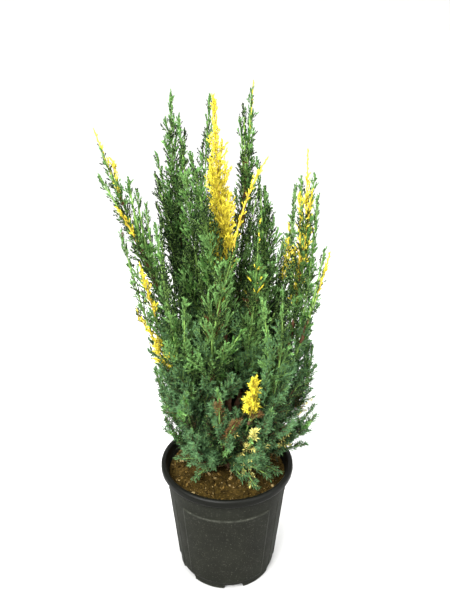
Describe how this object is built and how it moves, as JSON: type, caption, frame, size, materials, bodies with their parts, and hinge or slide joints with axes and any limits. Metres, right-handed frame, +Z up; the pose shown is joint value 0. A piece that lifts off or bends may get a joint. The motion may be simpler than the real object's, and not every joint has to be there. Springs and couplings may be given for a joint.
{
  "type": "potted variegated stricta juniper",
  "caption": "Young upright juniper with steep feathery plumes, mixed green and yellow needle foliage, in a round black nursery pot.",
  "frame": {"origin": "middle of the pot's flat underside", "axes": "+Z up along the pot's axis, -Y towards the front of the pot"},
  "size_m": [0.2886, 0.2073, 0.713],
  "materials": {
    "pot_plastic": "matte recycled plastic",
    "potting_soil": "loose peaty soil",
    "bark": "rough brown bark",
    "foliage_green": "matte needles",
    "foliage_yellow": "matte needles"
  },
  "bodies": {
    "root": {"bough_back_left": "bark", "bough_back_mid": "bark", "bough_back_outer": "bark", "bough_back_right": "bark", "bough_centre_dark": "bark", "bough_far_left": "bark", "bough_far_right": "bark", "bough_front_centre": "bark", "bough_front_left": "bark", "bough_front_light": "bark", "bough_front_right": "bark", "bough_gold_cone": "bark", "bough_gold_whip": "bark", "bough_inner_right": "bark", "bough_left_gold": "bark", "bough_left_leader": "bark", "bough_left_outer": "bark", "bough_right_back": "bark", "bough_right_gold": "bark", "bough_right_inner": "bark", "bough_right_outer": "bark", "bough_tall_right": "bark", "foliage_back_left": "foliage_green", "foliage_back_mid": "foliage_green", "foliage_back_outer": "foliage_green", "foliage_back_right": "foliage_green", "foliage_centre_dark": "foliage_green", "foliage_centre_gold": "foliage_yellow", "foliage_far_left": "foliage_green", "foliage_far_right": "foliage_green", "foliage_front_centre": "foliage_green", "foliage_front_left": "foliage_green", "foliage_front_light": "foliage_green", "foliage_front_right": "foliage_green", "foliage_gold_cone": "foliage_yellow", "foliage_gold_whip": "foliage_yellow", "foliage_inner_right": "foliage_green", "foliage_left_gold": "foliage_yellow", "foliage_left_leader": "foliage_green", "foliage_left_outer": "foliage_green", "foliage_right_back": "foliage_green", "foliage_right_gold": "foliage_yellow", "foliage_right_inner": "foliage_green", "foliage_right_outer": "foliage_green", "foliage_skirt_back": "foliage_green", "foliage_skirt_back_left": "foliage_green", "foliage_skirt_back_right": "foliage_green", "foliage_skirt_front": "foliage_green", "foliage_skirt_front_left": "foliage_green", "foliage_skirt_front_right": "foliage_green", "foliage_skirt_left": "foliage_green", "foliage_skirt_left_low": "foliage_green", "foliage_skirt_right": "foliage_green", "foliage_skirt_right_low": "foliage_green", "foliage_tall_right": "foliage_green", "pot": "pot_plastic", "soil": "potting_soil", "trunk": "bark"}
  },
  "joints": []
}
